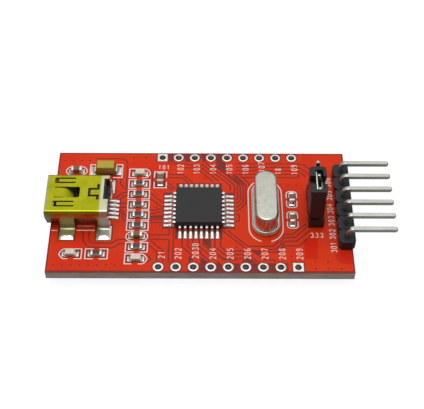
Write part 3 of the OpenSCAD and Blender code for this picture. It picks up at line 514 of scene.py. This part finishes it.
BARE = [
    # etched free behind and before the controller
    [(-5.15, 11.3), (-4.45, 11.3), (-4.45, 9.6), (-5.05, 9.9)],
    [(-2.75, 11.35), (-1.75, 11.35), (-1.75, 9.7), (-2.55, 9.7)],
    [(-0.15, 11.35), (0.85, 11.35), (0.85, 9.95), (0.25, 9.85)],
    [(2.35, 11.35), (3.3, 11.35), (3.3, 9.85), (3.85, 9.45), (3.85, 7.95), (3.4, 7.75), (2.4, 8.8)],
    [(5.35, 7.1), (6.95, 5.05), (6.75, 4.75), (4.85, 6.85)],
    [(-7.65, -1.2), (-5.7, -1.05), (-5.7, -1.7), (-7.65, -1.72)],
    [(0.5, -5.6), (1.35, -5.6), (1.35, -7.2), (0.5, -6.4)],
    [(0.02, -8.7), (1.25, -9.9), (0.3, -10.0), (0.02, -9.8)],
    [(-0.15, -9.95), (12.75, -9.95), (12.75, -11.4), (-0.15, -11.4)],
    [(6.15, -9.1), (7.2, -8.95), (8.2, -9.85), (6.15, -9.85)],
    [(7.3, -7.55), (8.85, -7.55), (8.85, -8.35), (8.4, -8.35)],
    [(-1.75, -9.7), (-1.75, -8.9), (-1.35, -8.6), (-1.35, -9.7)],
]
DEEP = [
    [(15.25, -5.4), (17.4, -5.4), (17.2, -9.2), (15.25, -9.2)],
    [(19.8, -8.0), (22.1, -8.0), (22.1, -10.1), (20.6, -9.9), (19.8, -9.4)],
]
# tracks and pour that run through those fields
COPPER = [
    track([(1.55, 10.6), (1.6, 9.5), (1.45, 9.2)], 0.3),
    track([(4.1, 10.6), (4.15, 9.4)], 0.3),
    track([(1.6, -9.6), (1.7, -10.2)], 0.3),
    track([(2.35, -9.2), (3.6, -10.4)], 0.3),
    track([(5.2, -9.55), (6.2, -10.25)], 0.3),
    track([(8.6, -9.3), (9.0, -9.9)], 0.3),
    track([(10.9, -9.7), (11.4, -10.1)], 0.3),
]


def chip_field(c, l, w):
    """The bare field inside a chip's outline, with the pour coming in between its pads."""
    a, b, n, d = l / 2, w / 2, 0.34, 0.26
    pts = [(-a, -b), (-n, -b), (-n, -b + d), (n, -b + d), (n, -b), (a, -b), (a, b), (n, b), (n, b - d), (-n, b - d), (-n, b), (-a, b)]
    return [(c[0] - y, c[1] + x) if c[2] else (c[0] + x, c[1] + y) for x, y in pts]


def grow(p, g):
    return rect(p[0], p[1], p[2] + 2 * g, p[3] + 2 * g)


bare = list(BARE)
bare += [chip_field(c, 3.02, 1.56) for c in CHIPS]
bare += [rect(TX, TY, 4.85, 2.1)]
bare += [grow(p, 0.24) for p in TABS]
bare += [rect(-13.2, UY, 2.0, 4.1)]
bare += [rect(ICX, ICY, 7.0, 10.9), rect(ICX, ICY, 10.9, 7.0)]
bare += [rect(x, y, 2 * rr + 0.44, 2 * rr + 0.44) if sq else circle(x, y, rr + 0.22, 36) for x, y, r, rr, sq in EDGE]
bare += [circle(x, y, 0.15, 12) for x, y in VIAS]
bare += [rect(0, s * (HY - 0.13), 2 * HX - 0.06, 0.2) for s in (-1, 1)] + [rect(s * (HX - 0.13), 0, 0.2, 2 * HY - 0.6) for s in (-1, 1)]
openings = opening_list() + [rect(p[0], p[1], p[2] + 0.1, p[3] + 0.1) for p in PADS]
top = make_mask("solder_mask_top_relief", "solder_mask_top", [track(g) for g in GAPS], bare, DEEP, COPPER, openings, 1.575, 1.600, 1.584, [M["mask"], M["mask_bare"], M["mask_deep"]])

# underside: generic tracks, because it isn't seen
UNDER = [
    [(-21.0, 3.0), (-12.0, 3.0), (-9.0, 6.0), (14.0, 6.0), (16.2, 3.8)],
    [(-21.0, 2.2), (-11.6, 2.2), (-8.6, 5.2), (13.6, 5.2), (15.9, 2.9)],
    [(-21.0, -3.4), (-12.4, -3.4), (-9.4, -6.4), (6.0, -6.4), (8.4, -4.0), (15.8, -4.0)],
    [(-21.0, -4.2), (-12.7, -4.2), (-9.7, -7.2), (6.4, -7.2), (8.8, -4.8), (16.2, -4.8)],
    [(-4.0, 9.2), (-4.0, 7.4)], [(-1.4, 9.2), (-1.4, 7.4)], [(1.0, 9.2), (1.0, 7.4)], [(3.6, 9.2), (3.6, 7.4)],
    [(-3.9, -9.2), (-3.9, -8.0)], [(1.1, -9.2), (1.1, -8.0)], [(6.1, -9.2), (6.1, -8.0)],
    [(18.6, 6.5), (20.0, 6.5)], [(18.6, 4.0), (20.0, 4.0)], [(18.6, -3.7), (20.0, -3.7)], [(18.6, -6.2), (20.0, -6.2)],
]
under_bare = [circle(x, y, rr + 0.22, 36) if not sq else rect(x, y, 2 * rr + 0.44, 2 * rr + 0.44) for x, y, r, rr, sq in RINGS] + [circle(x, y, 0.15, 12) for x, y in VIAS]
make_mask("solder_mask_bottom_relief", "solder_mask_bottom", [track(g) for g in UNDER], under_bare, [], [], opening_list(), 0.025, 0.0, 0.014, [M["mask"], M["mask_bare"], M["mask_deep"]])

# ------------------------------------------------------------------ white ink
INK0, INK1, INK = 1.586, 1.614, 0.17
DIGITS = {
    "0": [[(0.08, 0.2), (0.08, 0.8), (0.2, 1.0), (0.42, 1.0), (0.54, 0.8), (0.54, 0.2), (0.42, 0.0), (0.2, 0.0), (0.08, 0.2)]],
    "1": [[(0.12, 0.78), (0.32, 1.0), (0.32, 0.0)]],
    "2": [[(0.06, 0.82), (0.2, 1.0), (0.44, 1.0), (0.55, 0.8), (0.52, 0.6), (0.06, 0.0), (0.58, 0.0)]],
    "3": [[(0.06, 0.88), (0.2, 1.0), (0.44, 1.0), (0.54, 0.78), (0.4, 0.54), (0.56, 0.3), (0.46, 0.04), (0.2, 0.0), (0.05, 0.14)]],
    "4": [[(0.42, 0.0), (0.42, 1.0), (0.05, 0.36), (0.33, 0.36)], [(0.51, 0.36), (0.62, 0.36)]],
    "5": [[(0.54, 1.0), (0.12, 1.0), (0.08, 0.58), (0.36, 0.62), (0.55, 0.42), (0.52, 0.14), (0.32, 0.0), (0.06, 0.06)]],
    "6": [[(0.5, 0.95), (0.28, 1.0), (0.1, 0.72), (0.07, 0.3), (0.2, 0.02), (0.42, 0.0), (0.55, 0.24), (0.45, 0.5), (0.24, 0.5)]],
    "7": [[(0.05, 1.0), (0.57, 1.0), (0.24, 0.0)]],
    "8": [[(0.3, 0.6), (0.13, 0.7), (0.13, 0.9), (0.3, 1.0), (0.47, 0.9), (0.47, 0.7), (0.3, 0.6)], [(0.3, 0.45), (0.08, 0.34), (0.08, 0.1), (0.3, 0.0), (0.52, 0.1), (0.52, 0.34), (0.3, 0.45)]],
    "9": [[(0.1, 0.05), (0.32, 0.0), (0.5, 0.26), (0.54, 0.7), (0.42, 0.98), (0.2, 1.0), (0.07, 0.76), (0.16, 0.5), (0.42, 0.5)]],
}
silk = Build()


def number(text, x, y, size=0.86, adv=0.74, turned=True, w=0.11):
    """Plain digits centred on (x, y). Turned ones read upwards along +Y."""
    n = len(text)
    for i, ch in enumerate(text):
        for stroke in DIGITS[ch]:
            pts = []
            for a, c in stroke:
                u = (i - n / 2) * adv + 0.06 + a * size * 0.9
                v = (c - 0.5) * size
                pts.append((x - v, y + u) if turned else (x + u, y + v))
            if pts[0] == pts[-1]:
                strip_prism(silk, pts[:-1], w, INK0, INK1, True)
            else:
                strip_prism(silk, pts, w, INK0, INK1)


def line(*pts, closed=False, w=INK):
    strip_prism(silk, pts, w, INK0, INK1, closed)


def arc(cx, cy, r, a0, a1, n=8):
    return [(cx + r * math.cos(math.radians(a0 + (a1 - a0) * i / n)), cy + r * math.sin(math.radians(a0 + (a1 - a0) * i / n))) for i in range(n + 1)]


def brackets(x, y, l=3.2, w=1.72, g=0.42, turned=False):
    for s in (-1, 1):
        pts = [(s * g, w / 2), (s * l / 2, w / 2), (s * l / 2, -w / 2), (s * g, -w / 2)]
        line(*[(x - b, y + a) if turned else (x + a, y + b) for a, b in pts])


for c in RES[:6]:
    brackets(c[0], c[1])
brackets(RES[6][0], RES[6][1], 3.25, 1.78)
# lamps: one end drawn in to a point
for x, y, s in ((LED[0][0] - 0.02, LED[0][1] + 0.08, 1), (LED[1][0], LED[1][1] - 0.02, 1), (LED[2][0], LED[2][1], -1)):
    line((x - s * 0.5, y + 0.88), (x - s * 1.62, y + 0.88), (x - s * 1.62, y - 0.88), (x - s * 0.55, y - 0.88))
    line((x + s * 0.3, y + 0.88), (x + s * 0.92, y + 0.88), (x + s * 1.35, y + 0.6), (x + s * 1.6, y + 0.14), (x + s * 1.6, y - 0.2), (x + s * 1.3, y - 0.66), (x + s * 0.98, y - 0.88), (x + s * 0.35, y - 0.88))
    line((x - s * 0.5, y + 0.88), (x + s * 0.3, y + 0.88))
# capacitors with round ends
for c in CAP[:2]:
    for s in (-1, 1):
        pts = [(s * 0.45, 0.88)] + [(s * (0.72 + math.sin(math.radians(a)) * 0.88), math.cos(math.radians(a)) * 0.88) for a in range(0, 181, 18)] + [(s * 0.45, -0.88)]
        line(*[(c[0] + a, c[1] + b) for a, b in pts])
# the one across
for s in (-1, 1):
    x, y, a, b = CAP[2][0], CAP[2][1], 0.94, 1.63
    line((x - a, y + s * 0.42), (x - a, y + s * b), (x + a, y + s * b), (x + a, y + s * 0.42))
for c in CAP[3:]:
    for s in (-1, 1):
        a = 0.78
        line(*[(c[0] + p, c[1] + s * q) for p, q in [(-a, 0.25), (-a, 1.15), (-a + 0.12, 1.42), (-a + 0.4, 1.56), (a - 0.4, 1.56), (a - 0.12, 1.42), (a, 1.15), (a, 0.25)]])
# tantalum
for s in (-1, 1):
    line((TX + s * 1.35, TY + 1.33), (TX + s * 2.5, TY + 1.33), (TX + s * 2.5, TY - 1.33), (TX + s * 1.1, TY - 1.33))
line((TX - 2.24, TY + 1.0), (TX - 2.24, TY - 1.0), w=0.12)
# crystal, open at the near end
cx, cy = 9.78, 0.12
line(*(arc(cx, cy - 3.62, 2.55, 252.4, 180, 12) + arc(cx, cy + 3.25, 2.55, 180, 0, 24) + arc(cx, cy - 3.62, 2.55, 360, 286.4, 12)))
# receptacle
line((-22.2, -4.03), (-21.3, -4.03))
line((-18.5, -4.0), (-15.75, -4.0))
line((-18.4, -3.2), (-15.85, -3.2), w=0.12)
line((-13.62, -3.5), (-13.62, -2.2))
line((-13.66, 2.0), (-13.66, 3.3))
line((-22.2, 3.95), (-21.3, 3.95))
line((-18.5, 3.95), (-15.75, 3.95))
# plain numbers beside the holes
number("101", -5.75, 8.55, 0.74, 0.66, turned=False)
for i, y in zip(range(1, 9), (8.25, 8.25, 8.25, 8.25, 8.25, 8.75, 7.85, 8.2)):
    x = -6.1 + PITCH * i + 0.34
    number(str(101 + i) if i not in (7,) else "18", x, y)
for i, text in enumerate(("21", "202", "2030", "204", "205", "206", "207", "208", "209")):
    x = -6.1 + PITCH * i + (0.42 if i == 0 else 0.3)
    number(text, x, -8.4 if i == 0 else (-7.65 if i == 2 else -8.15))
for text, y in (("301", -6.95), ("302", -4.5), ("303", -2.0), ("304", 0.35), ("305", 2.95), ("306", 5.6)):
    number(text, 19.62, y, 0.8, 0.68, w=0.12)
number("333", 17.35, -4.78, 0.8, 0.72, turned=False)
put("silkscreen_ink", silk.mesh("silkscreen_ink"), [M["ink"]], ["silkscreen_top"])


# ------------------------------------------------------------------ solder
def blob(b, place, x0, x1, h0, h1, w0, w1, z0=0.0, n=8, m=8, power=2.0, lift=0.0):
    """A fillet from x0 to x1 that falls in a hollow curve, round across. place maps local (x, y, z) to the board."""
    rows = []
    for i in range(n + 1):
        u = i / n
        x = x0 + (x1 - x0) * u
        h = h1 + (h0 - h1) * (1 - u) ** power
        w = w0 + (w1 - w0) * u
        if i == n:
            w *= 0.82
            h *= 0.6
        row = []
        for j in range(m + 1):
            a = math.pi * j / m
            row.append(place(x, -w / 2 * math.cos(a), z0 + h * (math.sin(a) ** 0.7 if 0 < j < m else 0.0) + lift))
        rows.append(row)
    verts = [v for r in rows for v in r]
    k = m + 1
    faces = [(i * k + j, i * k + j + 1, (i + 1) * k + j + 1, (i + 1) * k + j) for i in range(n) for j in range(m)]
    faces += [tuple(range(k)), tuple(n * k + j for j in reversed(range(k)))]
    faces += [(i * k, (i + 1) * k, (i + 1) * k + m, i * k + m) for i in range(n)]
    b.add(verts, faces)


def placer(x, y, turn):
    c, s = round(math.cos(turn), 9), round(math.sin(turn), 9)
    return lambda a, b, z: (x + a * c - b * s, y + a * s + b * c, SEAT + z)


solder = Build()
for c in CHIPS:
    tall = 0.40 if c in RES else (0.52 if c in CAP else 0.28)
    for s in (0, 1):
        turn = (math.pi / 2 if c[2] else 0) + s * math.pi
        blob(solder, placer(c[0], c[1], turn), 0.79, 1.19, tall, 0.02, 0.74, 0.82, power=2.3)
for s in (0, 1):
    blob(solder, placer(TX, TY, s * math.pi), 1.72, 2.32, 0.5, 0.03, 1.18, 1.4, power=2.2)
for r in range(4):
    for k in K8:
        p = placer(ICX, ICY, r * math.pi / 2)
        f = lambda a, b, z, p=p, k=k: p(a, b + k * ICP, z)
        # toe, and the shallow bed that shows beside the foot
        blob(solder, f, 4.42, 5.23, 0.155, 0.045, 0.44, 0.44, power=1.6)
        blob(solder, f, 3.96, 4.44, 0.10, 0.10, 0.40, 0.44, power=1.0)
for x, wide in ((-19.75, 2.05), (-14.35, 1.7)):
    for s in (-1, 1):
        turn = s * math.pi / 2
        blob(solder, placer(x, UY + s * 5.16, turn), -0.02, 0.62, 0.3, 0.05, wide - 0.1, wide, power=1.6, n=10, m=12)
for k in (-2, -1, 0, 1, 2):
    blob(solder, placer(UX1 + 0.35, UY + k * 0.8, 0), 0.0, 0.93, 0.22, 0.05, 0.40, 0.43, power=1.2)
put("solder_fillets_fine", solder.mesh("solder_fillets_fine"), [M["solder"]], ["solder_fillets"], smooth=50)

# ------------------------------------------------------------------ carried-over nodes, edges broken and repainted
for node, mat, width in (
    ("ic_body", "mould", 0.045), ("ic_leads", "lead", 0.022), ("crystal_can", "can", 0.0), ("crystal_base", "can", 0.05),
    ("usb_insulator", "plug_black", 0.04), ("usb_contacts", "lead", 0.03), ("usb_shell", "shell", 0.045),
    ("tantalum_body", "mustard", 0.05), ("tantalum_terminals", "lead", 0.025), ("resistor_bodies", "alumina", 0.02),
    ("resistor_glaze", "glaze", 0.018), ("resistor_terminations", "lead", 0.014), ("capacitor_bodies", "mlcc", 0.05),
    ("capacitor_terminations", "lead", 0.012), ("led_bases", "lamp_base", 0.02), ("led_lenses", "lens", 0.05),
    ("led_terminals", "gilt", 0.012), ("header_housing", "header", 0.07), ("header_pins", "pin", 0.045),
    ("jumper_header_housing", "header", 0.07), ("jumper_header_pins", "pin", 0.045), ("jumper_cap_housing", "cap", 0.11),
    ("jumper_cap_contact", "bronze", 0.02), ("annular_barrels", "tin", 0.012), ("smd_pads", "tin", 0.006),
    ("solder_joints", "solder", 0.06),
):
    refine(node, M[mat], width)
for node, mat in (
    ("pcb_laminate", "laminate"), ("copper_foil_top", "copper"), ("copper_foil_bottom", "copper"), ("via_barrels", "copper"),
    ("ic_die", "silicon"), ("ic_die_paddle", "copper"), ("crystal_seals", "seal"), ("crystal_leads", "lead"),
    ("crystal_clips", "bronze"), ("crystal_blank", "quartz"), ("tantalum_slug", "slug"), ("led_dies", "silicon"),
):
    paint(node, M[mat])

# ------------------------------------------------------------------ floor, light and camera
scene = bpy.context.scene
low = cad_lo.z - 0.00002
fm = bpy.data.meshes.new("floor")
R = 1.5
fm.from_pydata([(-R, -R, low), (R, -R, low), (R, R, low), (-R, R, low)], [], [(0, 1, 2, 3)])
floor = bpy.data.objects.new("floor", fm)
scene.collection.objects.link(floor)
mf = bpy.data.materials.new("floor_white")
mf.use_nodes = True
nt = mf.node_tree
nt.nodes.clear()
out = nt.nodes.new("ShaderNodeOutputMaterial")
mix = nt.nodes.new("ShaderNodeMixShader")
dif = nt.nodes.new("ShaderNodeBsdfDiffuse")
dif.inputs["Color"].default_value = (0.20, 0.20, 0.20, 1)
em = nt.nodes.new("ShaderNodeEmission")
em.inputs["Color"].default_value = (1, 1, 1, 1)
em.inputs["Strength"].default_value = 0.90
add = nt.nodes.new("ShaderNodeAddShader")
nt.links.new(dif.outputs[0], add.inputs[0])
nt.links.new(em.outputs[0], add.inputs[1])
grey = nt.nodes.new("ShaderNodeBsdfDiffuse")
grey.inputs["Color"].default_value = (0.34, 0.34, 0.34, 1)
lp = nt.nodes.new("ShaderNodeLightPath")
nt.links.new(lp.outputs["Is Camera Ray"], mix.inputs["Fac"])
nt.links.new(grey.outputs[0], mix.inputs[1])
nt.links.new(add.outputs[0], mix.inputs[2])
nt.links.new(mix.outputs[0], out.inputs["Surface"])
fm.materials.append(mf)

# a tent that is bright above and behind and dark towards the viewer
world = bpy.data.worlds.new("studio")
scene.world = world
world.use_nodes = True
wt = world.node_tree
bg = wt.nodes["Background"]
wtc = wt.nodes.new("ShaderNodeTexCoord")
wsep = wt.nodes.new("ShaderNodeSeparateXYZ")
wt.links.new(wtc.outputs["Generated"], wsep.inputs["Vector"])


def world_ramp(axis, lo, hi, stops):
    mr = wt.nodes.new("ShaderNodeMapRange")
    mr.inputs["From Min"].default_value, mr.inputs["From Max"].default_value = lo, hi
    wt.links.new(wsep.outputs["XYZ".index(axis)], mr.inputs["Value"])
    r = wt.nodes.new("ShaderNodeValToRGB")
    cr = r.color_ramp
    cr.elements[0].position, cr.elements[0].color = stops[0][0], stops[0][1]
    cr.elements[1].position, cr.elements[1].color = stops[-1][0], stops[-1][1]
    for place, c in stops[1:-1]:
        cr.elements.new(place).color = c
    wt.links.new(mr.outputs["Result"], r.inputs["Fac"])
    return r


up_down = world_ramp("Z", 0.0, 1.0, [(0.0, (0.22, 0.22, 0.22, 1)), (0.35, (0.42, 0.42, 0.42, 1)), (0.7, (0.92, 0.92, 0.93, 1)), (1.0, (1, 1, 1, 1))])
fore_aft = world_ramp("Y", -1.0, 1.0, [(0.0, (0.22, 0.22, 0.22, 1)), (0.3, (0.5, 0.5, 0.5, 1)), (0.55, (1, 1, 1, 1)), (1.0, (1, 1, 1, 1))])
wmul = wt.nodes.new("ShaderNodeMix")
wmul.data_type, wmul.blend_type = "RGBA", "MULTIPLY"
wmul.inputs["Factor"].default_value = 1.0
wt.links.new(up_down.outputs["Color"], wmul.inputs["A"])
wt.links.new(fore_aft.outputs["Color"], wmul.inputs["B"])
wt.links.new(wmul.outputs["Result"], bg.inputs["Color"])
bg.inputs["Strength"].default_value = 0.95
wmix = wt.nodes.new("ShaderNodeMixShader")
wlp = wt.nodes.new("ShaderNodeLightPath")
bg2 = wt.nodes.new("ShaderNodeBackground")
bg2.inputs["Color"].default_value = (1, 1, 1, 1)
wt.links.new(wlp.outputs["Is Camera Ray"], wmix.inputs["Fac"])
wt.links.new(bg.outputs[0], wmix.inputs[1])
wt.links.new(bg2.outputs[0], wmix.inputs[2])
wt.links.new(wmix.outputs[0], wt.nodes["World Output"].inputs["Surface"])


def lamp(name, place, size, radiance, aim=(0, 0, 0)):
    l = bpy.data.lights.new(name, "AREA")
    l.shape, l.size, l.size_y = "RECTANGLE", size[0], size[1]
    l.energy = radiance * math.pi * size[0] * size[1]
    o = bpy.data.objects.new(name, l)
    scene.collection.objects.link(o)
    o.location = place
    o.rotation_mode = "QUATERNION"
    o.rotation_quaternion = (Vector(aim) - Vector(place)).to_track_quat("-Z", "Y")
    o.visible_camera = False
    return o


lamp("top_softbox", (-0.03, 0.01, 0.40), (0.30, 0.20), 1.9)

pitch, yaw, roll = math.radians(50.713), math.radians(0.368), math.radians(0.497)
fwd = Vector((math.sin(yaw) * math.cos(pitch), math.cos(yaw) * math.cos(pitch), -math.sin(pitch)))
right = Vector((math.cos(yaw), -math.sin(yaw), 0))
upv = right.cross(fwd)
r2 = right * math.cos(roll) + upv * math.sin(roll)
u2 = -right * math.sin(roll) + upv * math.cos(roll)
cam_data = bpy.data.cameras.new("camera")
cam_data.sensor_fit, cam_data.sensor_width, cam_data.lens = "HORIZONTAL", 36.0, 84.5042
cam_data.clip_start, cam_data.clip_end = 0.01, 10.0
cam = bpy.data.objects.new("camera", cam_data)
scene.collection.objects.link(cam)
cam.matrix_world = Matrix.Translation(Vector((1.085, -94.745, 118.707)) * S) @ Matrix((r2, u2, -fwd)).transposed().to_4x4()
scene.camera = cam
scene.view_settings.view_transform = "Standard"
scene.view_settings.look = "None"
